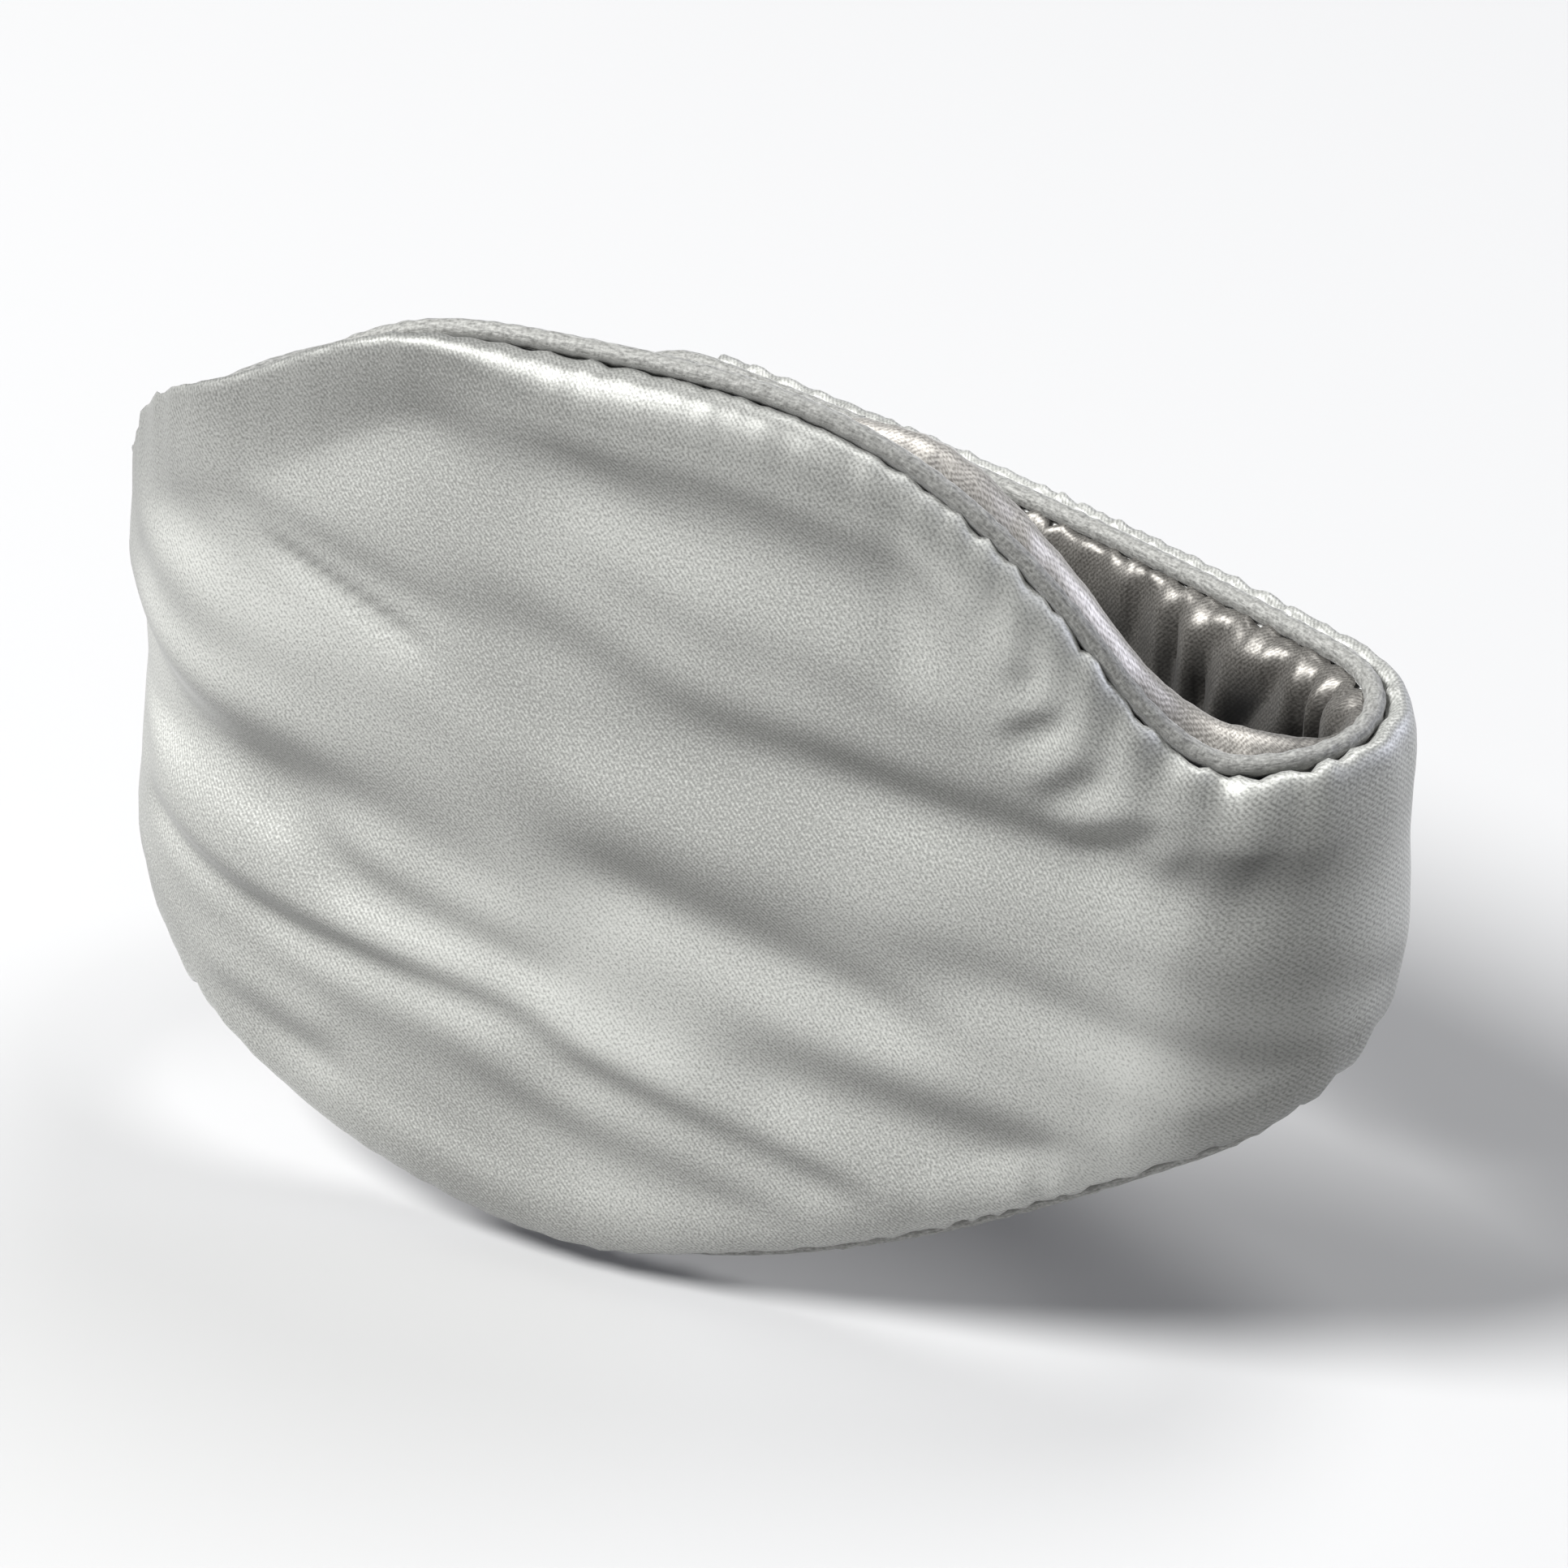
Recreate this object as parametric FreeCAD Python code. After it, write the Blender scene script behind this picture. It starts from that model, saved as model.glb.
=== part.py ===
import FreeCAD, Part
import math
import os

# Sleep eye mask, closed into its loop. All sizes in millimetres.
# +X is the wearer's left, +Y the back of the head, +Z up.
# The origin is the middle of the head opening, at the height of the strap's centreline.

# ---- plan of the loop, seen from above -------------------------------------------------------
TURN_SPACING = 120.0          # between the centres of the two end turns
WIDE_TURN_RADIUS = 36.7       # the turn at -X
TIGHT_TURN_RADIUS = 17.4      # the turn at +X
FRONT_RADIUS = 366.0          # bow of the mask body
REAR_RADIUS = 580.0           # bow of the under band; the outer band is concentric with it
LAP_SPACING = 9.4             # between the middles of the two lapped bands
NOSE_ANGLE = 6.2              # where the middle of the body lies on the front bow, degrees

# ---- outline, measured along the loop from the middle of the body -----------------------------
SEAM_HEIGHT = 19.5            # strap: centreline to the middle of its piping
BROW_HEIGHT = 63.2            # body: centreline to the middle of the upper piping
BROW_REACH = 78.6             # where the upper edge has run down into the strap
BROW_CROWN = 3.2              # roundness of the upper outline
BROW_FILLET = 1.1             # softness of its run into the strap
BROW_SAG = 8.5                # the brow sags on the side of the wide turn
BROW_SAG_AT = -45.0
BROW_SAG_WIDTH = 19.0
CHEEK_HEIGHT = 66.6           # the same for the lower edge
CHEEK_REACH = 121.3
CHEEK_CROWN = 1.8
CHEEK_FILLET = 1.45

# ---- layers, through the thickness ------------------------------------------------------------
BODY_HALF_PAD = 4.0
PAD_REACH = 88.0              # where the body's pad has thinned to the strap's
BAND_HALF_PAD = 2.6
EDGE_HALF_PAD = 1.4           # the pad is pinched thin along its seams
PINCH = 7.0                   # width of that pinched margin
SKIN = 0.6
BLACKOUT = 0.8
TAPE = 1.2
PIPING_RADIUS = 1.4
CORD_RADIUS = 0.9
SEAM_GAP = 0.05

# ---- lengths along the loop -------------------------------------------------------------------
STATION_STEP = 5.0
BODY_GAP = 0.3                # between pieces of different bodies
OUTER_TIP_X = -63.0           # where the outer band's round end comes to
INNER_TIP_X = 23.0            # where the under band's round end comes to
TAB_LENGTH = 38.0             # the part of the outer band that peels
TAPE_HALF_HEIGHT = 12.0
TAPE_MARGIN = 8.0             # from the round end to its fastening tape
LOOP_TAPE_LENGTH = 80.0
HOOK_TAPE_LENGTH = 28.0
LABEL_LENGTH = 40.0
LABEL_DROP = 10.0
LABEL_HALF_THICKNESS = 0.4
LABEL_FROM_TIP = 90.0
ROUND_END_TURN = 80.0         # how far round the end the flat layers reach, degrees


def circle_centre(first, first_distance, second, second_distance, side):
    """The point at two given distances from two points on the X axis, on the given Y side."""
    span = second - first
    along = (first_distance ** 2 - second_distance ** 2 + span ** 2) / (2 * span)
    across = math.sqrt(first_distance ** 2 - along ** 2)
    return (first + along, side * across)


def bearing(centre, target):
    """Angle of target from centre, 0 towards -Y, growing towards +X."""
    return math.atan2(target[0] - centre[0], centre[1] - target[1])


WIDE_CENTRE = (-TURN_SPACING / 2, 0.0)
TIGHT_CENTRE = (TURN_SPACING / 2, 0.0)
FRONT_CENTRE = circle_centre(
    WIDE_CENTRE[0], FRONT_RADIUS - WIDE_TURN_RADIUS,
    TIGHT_CENTRE[0], FRONT_RADIUS - TIGHT_TURN_RADIUS, 1)
REAR_CENTRE = circle_centre(
    WIDE_CENTRE[0], REAR_RADIUS - WIDE_TURN_RADIUS,
    TIGHT_CENTRE[0], REAR_RADIUS + LAP_SPACING - TIGHT_TURN_RADIUS, -1)
NOSE = math.radians(NOSE_ANGLE)
FULL_TURN = 2 * math.pi

# Each side of the loop is three arcs: (centre, radius, bearing where it starts).
TIGHT_SIDE = [
    (FRONT_CENTRE, FRONT_RADIUS, NOSE),
    (TIGHT_CENTRE, TIGHT_TURN_RADIUS, bearing(FRONT_CENTRE, TIGHT_CENTRE)),
    (REAR_CENTRE, REAR_RADIUS + LAP_SPACING, bearing(REAR_CENTRE, TIGHT_CENTRE)),
]
WIDE_SIDE = [
    (FRONT_CENTRE, FRONT_RADIUS, NOSE),
    (WIDE_CENTRE, WIDE_TURN_RADIUS, bearing(FRONT_CENTRE, WIDE_CENTRE)),
    (REAR_CENTRE, REAR_RADIUS, bearing(REAR_CENTRE, WIDE_CENTRE) - FULL_TURN),
]


def place(distance, proud, height):
    """A point of the loop: distance along it from the nose, proud of its middle, and height."""
    arcs = TIGHT_SIDE if distance >= 0 else WIDE_SIDE
    left = abs(distance)
    for number, (centre, radius, start) in enumerate(arcs):
        last = number == len(arcs) - 1
        length = math.inf if last else radius * abs(arcs[number + 1][2] - start)
        if left <= length:
            break
        left -= length
    angle = start + math.copysign(left / radius, distance)
    reach = radius + proud
    return FreeCAD.Vector(centre[0] + reach * math.sin(angle), centre[1] - reach * math.cos(angle), height)


def distance_to_bearing(arcs, count, angle):
    """Distance along a side to the given bearing on its arc number count."""
    total = 0.0
    for number in range(count):
        total += arcs[number][1] * abs(arcs[number + 1][2] - arcs[number][2])
    return total + arcs[count][1] * abs(angle - arcs[count][2])


def rear_distance(arcs, x):
    """Distance along a side to the point of its rear arc at the given x."""
    centre, radius, start = arcs[2]
    angle = math.pi - math.asin((x - centre[0]) / radius)
    if start < 0:
        angle -= FULL_TURN
    return distance_to_bearing(arcs, 2, angle)


TIGHT_SPLIT = distance_to_bearing(TIGHT_SIDE, 1, math.pi / 2)
WIDE_SPLIT = -distance_to_bearing(WIDE_SIDE, 1, -math.pi / 2)
OUTER_TIP = rear_distance(TIGHT_SIDE, OUTER_TIP_X)
INNER_TIP = -rear_distance(WIDE_SIDE, INNER_TIP_X)
TAB_SPLIT = OUTER_TIP - TAB_LENGTH


def swell(distance, reach, crown=2.0, fillet=2.0):
    """1 at the middle of the body, falling smoothly to 0 at the given reach."""
    part = min(abs(distance) / reach, 1.0)
    return (1 - part ** crown) ** fillet


def seam(distance, side):
    """Height of the piping's middle, on the upper (side 1) or lower (side -1) edge."""
    if side > 0:
        rise = (BROW_HEIGHT - SEAM_HEIGHT) * swell(distance, BROW_REACH, BROW_CROWN, BROW_FILLET)
        rise -= BROW_SAG * math.exp(-((distance - BROW_SAG_AT) / BROW_SAG_WIDTH) ** 2)
        rise = max(rise, 0.0)
    else:
        rise = (CHEEK_HEIGHT - SEAM_HEIGHT) * swell(distance, CHEEK_REACH, CHEEK_CROWN, CHEEK_FILLET)
    return side * (SEAM_HEIGHT + rise)


def stretch(distance, side):
    """How much longer a sloping edge makes an upright cut through the piping."""
    slope = seam(distance + 0.5, side) - seam(distance - 0.5, side)
    return math.hypot(1.0, slope)


def half_pad(distance):
    return BAND_HALF_PAD + (BODY_HALF_PAD - BAND_HALF_PAD) * swell(distance, PAD_REACH)


# ---- solids -----------------------------------------------------------------------------------
SAME_WAY = 1                  # both edges of a ruled face run the same way


def long_faces(rings):
    """Ruled faces between smooth curves that run through the matching points of the rings."""
    parameters = [float(number) for number in range(len(rings))]
    edges = []
    for column in range(len(rings[0])):
        curve = Part.BSplineCurve()
        curve.interpolate(Points=[ring[column] for ring in rings], Parameters=parameters)
        edges.append(curve.toShape())
    return [Part.makeRuledSurface(edges[number - 1], edges[number], SAME_WAY)
            for number in range(len(edges))]


def closed_wire(ring):
    return Part.makePolygon(ring + ring[:1])


def closed_solid(faces):
    shell = Part.makeShell(faces)
    shell.sewShape()
    solid = Part.Solid(shell)
    if solid.Volume < 0:
        solid.reverse()
    return solid


def bar(rings):
    """Solid bar through a list of rings of points."""
    ends = [Part.Face(closed_wire(rings[0])), Part.Face(closed_wire(rings[-1]))]
    return closed_solid(long_faces(rings) + ends)


def tube(outer, inner):
    """Bar with a bar-shaped hole from end to end."""
    return bar(outer).cut(bar(inner)).Solids[0]


def export(shape, node):
    shape.exportStep("parts/%s.step" % node)
    print("%-26s %9.1f mm3  valid %s" % (node, shape.Volume, shape.isValid()))


def stations(start, end):
    count = max(3, round(abs(end - start) / STATION_STEP))
    return [start + (end - start) * number / count for number in range(count + 1)]


class Strip:
    """A stretch of the loop: its stations, and the heights between which its layers lie."""

    def __init__(self, start, end, tip=None):
        self.places = stations(start, end)
        self.tip_centre = None
        if tip is not None:
            inset = SEAM_HEIGHT - PIPING_RADIUS - SEAM_GAP
            self.tip_centre = tip - math.copysign(SEAM_HEIGHT, tip)
            self.places = stations(start, self.tip_centre)
            for number in range(1, 9):
                turn = math.radians(ROUND_END_TURN * number / 8)
                self.places.append(self.tip_centre + math.copysign(inset * math.sin(turn), tip))
        self.tip = tip

    def edge(self, distance, side):
        """Height where the layers stop, against the piping."""
        inset = PIPING_RADIUS + SEAM_GAP
        if self.tip is not None and abs(distance) > abs(self.tip_centre):
            past = distance - self.tip_centre
            return side * math.sqrt((SEAM_HEIGHT - inset) ** 2 - past ** 2)
        return seam(distance, side) - side * inset * stretch(distance, side)

    def surface(self, distance, middle, margin):
        """Four points across the strip: proud by middle, and by margin at its seams."""
        high = self.edge(distance, 1)
        low = self.edge(distance, -1)
        pinch = min(PINCH, (high - low) * 0.2)
        return [
            place(distance, margin, high),
            place(distance, middle, high - pinch),
            place(distance, middle, low + pinch),
            place(distance, margin, low),
        ]

    def layer(self, outside, inside):
        """Solid layer between two surfaces; each gives proud distances for middle and margin."""
        rings = []
        for distance in self.places:
            over = self.surface(distance, *outside(distance))
            under = self.surface(distance, *inside(distance))
            rings.append(over + under[::-1])
        return bar(rings)


def pad_face(side, extra=0.0):
    """Proud distances of a pad's face, plus an extra thickness laid on it."""
    def proud(distance):
        return side * (half_pad(distance) + extra), side * (EDGE_HALF_PAD + extra)
    return proud


def export_layers(strip, prefix, blackout=False):
    """Outer satin, lining and pad of one strip, and the blackout cloth where it has one."""
    pad_front = -BLACKOUT if blackout else 0.0
    export(strip.layer(pad_face(1, SKIN), pad_face(1)), prefix + "_outer_satin")
    export(strip.layer(pad_face(-1), pad_face(-1, SKIN)), prefix + "_lining")
    export(strip.layer(pad_face(1, pad_front), pad_face(-1)), prefix + "_pad")
    if blackout:
        export(strip.layer(pad_face(1), pad_face(1, pad_front)), "blackout_cloth")


def octagon(radius):
    return [(radius * math.cos(math.pi * (k + 0.5) / 4), radius * math.sin(math.pi * (k + 0.5) / 4))
            for k in range(8)]


def edge_rings(places, side, radius):
    """Upright cuts through the piping along one edge."""
    rings = []
    for distance in places:
        middle = seam(distance, side)
        tall = stretch(distance, side)
        rings.append([place(distance, proud, middle + rise * tall) for proud, rise in octagon(radius)])
    return rings


def tip_rings(strip, start, radius):
    """Cuts through the piping that runs out along the top, round the end and back below."""
    way = math.copysign(1.0, strip.tip)
    straight = stations(start, strip.tip_centre)
    centres = [(distance, seam(distance, 1), 0.0, stretch(distance, 1)) for distance in straight[:-1]]
    for number in range(17):
        turn = math.pi * number / 16
        centres.append((strip.tip_centre + way * SEAM_HEIGHT * math.sin(turn),
                        SEAM_HEIGHT * math.cos(turn), turn, 1.0))
    centres += [(distance, seam(distance, -1), math.pi, stretch(distance, -1))
                for distance in straight[-2::-1]]
    rings = []
    for distance, height, turn, tall in centres:
        ring = []
        for proud, out in octagon(radius):
            along = distance + way * out * math.sin(turn)
            ring.append(place(along, proud, height + out * tall * math.cos(turn)))
        rings.append(ring)
    return rings


def export_piping(rings_of, name):
    """A satin-covered piping: its cover, and the filler cord inside."""
    outer = rings_of(PIPING_RADIUS)
    inner = rings_of(CORD_RADIUS)
    export(tube(outer, inner), name)
    export(bar(inner), name + "_cord")


def export_edges(strip, prefix):
    for side, name in ((1, "_upper_piping"), (-1, "_lower_piping")):
        export_piping(lambda radius: edge_rings(strip.places, side, radius), prefix + name)


def export_tape(start, end, side, node):
    """Fastening tape laid on the outer (side 1) or inner (side -1) satin of a band."""
    near = side * (BAND_HALF_PAD + SKIN)
    far = near + side * TAPE
    rings = []
    for distance in stations(start, end):
        corners = ((near, 1), (far, 1), (far, -1), (near, -1))
        rings.append([place(distance, proud, way * TAPE_HALF_HEIGHT) for proud, way in corners])
    export(bar(rings), node)


def export_label():
    """Folded woven label that hangs from the outer band's lower seam."""
    middle = OUTER_TIP - LABEL_FROM_TIP
    top = -SEAM_HEIGHT - PIPING_RADIUS
    rings = []
    for distance in stations(middle - LABEL_LENGTH / 2, middle + LABEL_LENGTH / 2):
        corners = ((1, 0), (1, 1), (-1, 1), (-1, 0))
        rings.append([place(distance, side * LABEL_HALF_THICKNESS, top - down * LABEL_DROP)
                      for side, down in corners])
    export(bar(rings), "side_label")


def main():
    os.makedirs("parts", exist_ok=True)
    half_gap = BODY_GAP / 2

    body = Strip(WIDE_SPLIT + half_gap, TIGHT_SPLIT - half_gap)
    export_layers(body, "mask", blackout=True)
    export_edges(body, "mask")

    outer = Strip(TIGHT_SPLIT + half_gap, TAB_SPLIT - half_gap)
    export_layers(outer, "outer_band")
    export_edges(outer, "outer_band")
    export_label()

    tab = Strip(TAB_SPLIT + half_gap, OUTER_TIP, tip=OUTER_TIP)
    export_layers(tab, "tab")
    export_piping(lambda radius: tip_rings(tab, TAB_SPLIT + half_gap, radius), "tab_piping")
    hook_end = OUTER_TIP - TAPE_MARGIN
    export_tape(hook_end - HOOK_TAPE_LENGTH, hook_end, -1, "hook_tape")

    inner = Strip(WIDE_SPLIT - half_gap, INNER_TIP, tip=INNER_TIP)
    export_layers(inner, "under_band")
    export_piping(lambda radius: tip_rings(inner, WIDE_SPLIT - half_gap, radius), "under_band_piping")
    loop_end = INNER_TIP + TAPE_MARGIN
    export_tape(loop_end + LOOP_TAPE_LENGTH, loop_end, 1, "loop_tape")

    skin_face = BAND_HALF_PAD + SKIN
    for name, distance in (("tight", TIGHT_SPLIT), ("wide", WIDE_SPLIT), ("tab", TAB_SPLIT)):
        point = place(distance, skin_face, 0)
        print("split", name, "at", round(distance, 1), "pivot", round(point.x, 2), round(point.y, 2))
    print("flat length", round(OUTER_TIP - INNER_TIP + 2 * PIPING_RADIUS, 1))


main()
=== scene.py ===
import math

import bmesh
import bpy
import numpy as np
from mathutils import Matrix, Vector

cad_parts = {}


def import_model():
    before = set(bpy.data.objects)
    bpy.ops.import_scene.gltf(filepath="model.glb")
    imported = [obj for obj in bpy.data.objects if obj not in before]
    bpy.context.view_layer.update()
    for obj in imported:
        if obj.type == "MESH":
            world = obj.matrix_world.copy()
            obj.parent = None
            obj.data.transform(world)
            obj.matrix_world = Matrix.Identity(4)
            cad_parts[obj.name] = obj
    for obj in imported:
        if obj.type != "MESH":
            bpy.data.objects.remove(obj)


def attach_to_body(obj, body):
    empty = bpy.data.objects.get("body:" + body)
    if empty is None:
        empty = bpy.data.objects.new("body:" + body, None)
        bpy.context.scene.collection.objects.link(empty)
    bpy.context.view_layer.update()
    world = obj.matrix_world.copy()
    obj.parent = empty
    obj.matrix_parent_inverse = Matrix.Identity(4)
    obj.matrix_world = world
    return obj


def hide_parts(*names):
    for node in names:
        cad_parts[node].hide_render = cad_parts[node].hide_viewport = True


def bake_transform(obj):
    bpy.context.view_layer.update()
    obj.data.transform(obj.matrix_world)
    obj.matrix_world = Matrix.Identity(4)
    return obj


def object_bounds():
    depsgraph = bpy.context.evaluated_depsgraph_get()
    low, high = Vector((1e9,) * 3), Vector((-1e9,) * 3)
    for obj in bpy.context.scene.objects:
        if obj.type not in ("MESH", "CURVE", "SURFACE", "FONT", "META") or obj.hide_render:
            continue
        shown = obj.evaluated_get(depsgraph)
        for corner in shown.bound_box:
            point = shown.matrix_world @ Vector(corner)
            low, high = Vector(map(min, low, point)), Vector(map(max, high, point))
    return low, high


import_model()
cad_box = [list(corner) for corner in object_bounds()]

# A padded satin sleep mask, closed into its loop. Sizes in millimetres; meshes are built in metres.
#
# A distance runs along the loop from the middle of the body: above 0 through the tight turn into the
# outer band and its tab, below 0 through the wide turn into the under band. A reach is four
# distances: where something begins, where it is full, where it starts to fade and where it ends.
# A hill is how high something rises and its reach. A span is two values: where something begins and
# where it is full. A field of random waves is its seed, height, range of wave lengths and slant.
MM = 0.001

# ---- plan of the loop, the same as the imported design's ----
TURN_SPACING = 120.0
WIDE_TURN_RADIUS = 36.7
TIGHT_TURN_RADIUS = 17.4
FRONT_RADIUS = 366.0
REAR_RADIUS = 580.0
LAP_SPACING = 9.4
NOSE_ANGLE = 6.2

# ---- outline ----
SEAM_HEIGHT = 19.5  # the bands' seams lie this far above and below their middle
BROW_HEIGHT = 63.2
BROW_REACH = 78.6
BROW_CROWN = 3.2
BROW_FILLET = 1.1
CHEEK_HEIGHT = 66.6
CHEEK_REACH = 121.3
CHEEK_CROWN = 1.8
CHEEK_FILLET = 1.45
PAD_REACH = 88.0
CORNER_EASE = 7.0  # the filling rounds the seam's corners off over this far
CORNER_SAMPLES = 7
BROW_SAG = 8.5  # the brow sags on the side of the wide turn
BROW_SAG_AT = -45.0
BROW_SAG_WIDTH = 19.0
OUTER_TIP_X = -63.0
INNER_TIP_X = 23.0
TAB_LENGTH = 38.0
TAB_BEND = 8.0  # the cloth bends this far to each side of the tab's split
TAB_CLEARANCE = 1.0  # the tab's own panels begin this far before the bend

# ---- cloth and its seams ----
CLOTH = 0.45  # thickness of the satin
SEAM_TUCK = 0.8  # how far the satin's edge lies under the piping
COVER_END_RADIUS = SEAM_HEIGHT - SEAM_TUCK
SEAM_PROUD = 1.05  # where the satin leaves the piping
JAG = 0.14  # the gathers draw the seam in and out this much
JAG_OF_BANDS = 0.26  # and this much more past the body
JAG_SPAN = (44, 60)
JAG_LENGTHS = (3.0, 6.0)
JAG_FADE = 1.3

# ---- grid of the satin ----
COLUMN_STEP = 1.15
EDGE_ROWS = 9
MIDDLE_ROWS = 64
EDGE_ROUND = 8.0  # width of the rounding beside a seam
WIDEST_EDGE = 0.45  # at most this share of the height
ROUND_END_TURN = 86.0
ROUND_END_COLUMNS = 34
COARSE = {"step": 2.5, "edge_rows": 5, "middle_rows": 16}
CRISP_ANGLE = math.radians(66)

# ---- random fields ----
WAVE_COUNT = 14
WAVE_TURN = 0.6  # the most they turn, in radians
PUCKER_FADE = 4.0
PUCKER_APART = 40.0  # so that the two edges differ

# ---- outer satin ----
OUTER_PUFF = 5.6  # proud of the loop's middle
BODY_EXTRA_PUFF = 0.9
LAP_PUFF = 3.6  # where the under band lies against the outer band
LAP_SPAN = (106, 126)
LEAST_PUFF = 1.6  # the cover never dips nearer the middle than this
LEAST_PUFF_CORNER = 2.5  # how sharply it levels out there
DRAWN_IN = (3.4, (46, 76, 104, 120))  # the cover is drawn in over the wide turn
DRAWN_IN_LOW = (1.3, (34, 60, 104, 120))  # and less below the upper part
DRAWN_IN_HEIGHTS = (-34, -8)
FOLD_SPAN = (1.0, 10.0)  # from a seam
SOFT_FOLDS = (11, 0.6, (22, 50), 3.0)
SOFT_FOLDS_OF_BANDS = 0.3  # share of the soft folds that the bands have
FINE_FOLDS = (12, 0.10, (9, 20), 3.0)
GATHERS = (14, 0.5, (4.5, 9.0), 3.0)  # radiating from the brow's end
GATHER_REACH = (44, 62, 84, 104)
GATHER_FADE = 8.0
OUTER_PUCKERS = 0.12
OUTER_TURN_PUCKERS = (0.2, (44, 60, 104, 116))  # as much more at the turns
OUTER_PUCKER_LENGTHS = (3.5, 7.5)
OUTER_BULGE = 0.7  # the satin swells past its seam
BROW_BULGE = (5.6, (-94, -68, -50, 10))
TURN_BULGE = 2.0
TURN_BULGE_SPAN = (82, 100)
CHEEK_BULGE = (1.6, (-60, -30, 2, 26))

# Folds of the mask's front, as (start, end, width, valley, step, bow)
FOLD_DEPTH = 2.2
FOLD_TAPER = 0.55
FRONT_FOLDS = [
    ((-54, 37), (-4, 24), 4.0, 0.1, 0.35, 0),
    ((-45, 31), (-14, 19), 1.9, 0.35, 0.45, 0),
    ((-84, 18), (4, 10), 7.5, 0.1, 0.45, 0),
    ((-98, 5), (-22, -8), 8.5, 0.5, 2.0, 1.0),
    ((-42, -13), (4, -24), 5.5, 0.1, 0.8, 0),
    ((-74, -20), (-34, -27), 3.4, 0.3, 0.75, 0),
    ((-60, -42), (-30, -46), 5.0, 0.1, 0.6, 0),
    ((-54, -27), (6, -32), 3.8, 0.3, 0.9, 1.5),
    ((-10, -31), (50, -49), 4.6, 0.3, 1.0, 0),
    ((-2, 21), (104, 4), 7.0, 0.3, 1.4, 0),
    ((-6, -1), (58, -18), 8.0, 0.4, 1.45, 0),
    ((16, -28), (74, -38), 8.0, 0.4, 1.0, 0),
    ((-54, 44), (-6, 60), 8.5, 0.9, 0.3, 0),
    ((-14, 55), (62, 43), 9.0, 0.0, 0.8, 2.0),
    ((46, 56), (49, 24), 4.5, 0.3, 0.35, 0),
    ((58, 30), (71, 37), 2.2, 0.5, 0.4, 0),
    ((56, 22), (74, 31), 2.4, 0.5, 0.4, 0),
    ((60, 14), (80, 25), 2.8, 0.5, 0.4, 0),
    ((64, 6), (86, 18), 3.2, 0.4, 0.4, 0),
]

# ---- lining ----
INNER_PUFF = 3.3
INNER_BODY_PUFF = 1.5
INNER_ROUND = 6.0
RIM_PUFF = (5.6, (26, 52, 84, 110))  # its rim stands up before the tight turn
RIM_DEPTHS = (5.0, 19.0)  # from the upper seam
BAND_PUFF = (1.8, (106, 118, 140, 160))  # where the outer band begins
REAR_SPAN = (104, 118)
LINING_FOLD_SPAN = (0.2, 3.5)
PLEATS = 0.6
FREE_PLEATS = (2.2, (106, 116, 150, 175))  # as much more where the outer band hangs free
PLEAT_WIDTH = 8.0
PLEAT_LEAN = 0.25
PLEAT_MIDDLE = 0.6
PLEAT_SEED = 21
PLEAT_WANDER = (22, 0.35, (18.0, 45.0), 2.0)
PLEAT_VALLEY = 0.05  # rounds off the valleys
PLEAT_SHAPE = 0.4
LINING_FOLDS = (22, 0.5, (14.0, 30.0), 2.5)
LINING_CRUMPLE = (24, 0.18, (6.0, 12.0), 3.0)
LINING_PUCKERS = 0.32
LINING_PUCKER_LENGTHS = (2.8, 5.5)
CALMED = (0.8, (40, 70, 98, 112))  # small gathers lost inside the tight turn
INNER_BULGE = 0.5
RIM_BULGE = (4.2, (28, 52, 84, 110))

# ---- painted shade and light of the satin ----
LEAN_INSIDE = (3.0, 10.0)  # from a seam
LEAN_ACROSS = 0.35
LEAN_FULL = 0.45  # the slope that counts in full
BROW_PAINTED_SHADE = (0.9, (-104, -84, 20, 60))  # painted shade on the outer satin at the brow's edge, to dim its highlight
BROW_PAINTED_SHADE_DEPTHS = (3.0, 17.0)
TURN_PAINTED_SHADE = (1.1, (74, 86, 92, 106))  # painted shade where it goes into the tight turn
TURN_PAINTED_SHADE_DEPTHS = (2.0, 8.0)
BAND_PAINTED_SHADE = (0.9, (104, 116, 170, 200))  # painted shade on the lining low down on the outer band, inside the loop
BAND_PAINTED_SHADE_DEPTHS = (3.0, 11.0)
RIM_PAINTED_LIGHT = (3.0, (20, 40, 80, 98))  # painted light on its rim
RIM_PAINTED_LIGHT_DEPTHS = (6.0, 20.0)

# ---- piping ----
PIPING_RADIUS = 1.35
CORD_RADIUS = 0.95
PIPING_STEP = 0.9
PIPING_SIDES = 14
PIPING_RIBS = 0.035  # the gathers swell it by this share
PIPING_RIB_LENGTHS = (1.8, 4.0)

# ---- pads and blackout cloth, inside the covers ----
PAD_INSET = 1.2  # the pad lies this far inside the lining
PAD_GAP = 0.5  # between two pads and their split
PAD_EDGE_INSET = 0.9  # its edge is drawn in this much at the seams
PAD_EDGE_FADE = 3.0
PAD_ROUND = 12.0
PAD_EDGE_PROUD = 0.6
LEAST_PAD = 0.3  # least thickness to each side of the loop's middle
COVER_ROOM = 1.0  # between the pad's front and the cover
FOLD_ROOM = 4.2  # more over the body, for the cover's folds
BLACKOUT_CLOTH = 0.35
BLACKOUT_HEIGHT = 0.97  # share of the cover's height
BLACKOUT_FROM_WIDE = 4.0
BLACKOUT_FROM_TIGHT = 14.0

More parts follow.
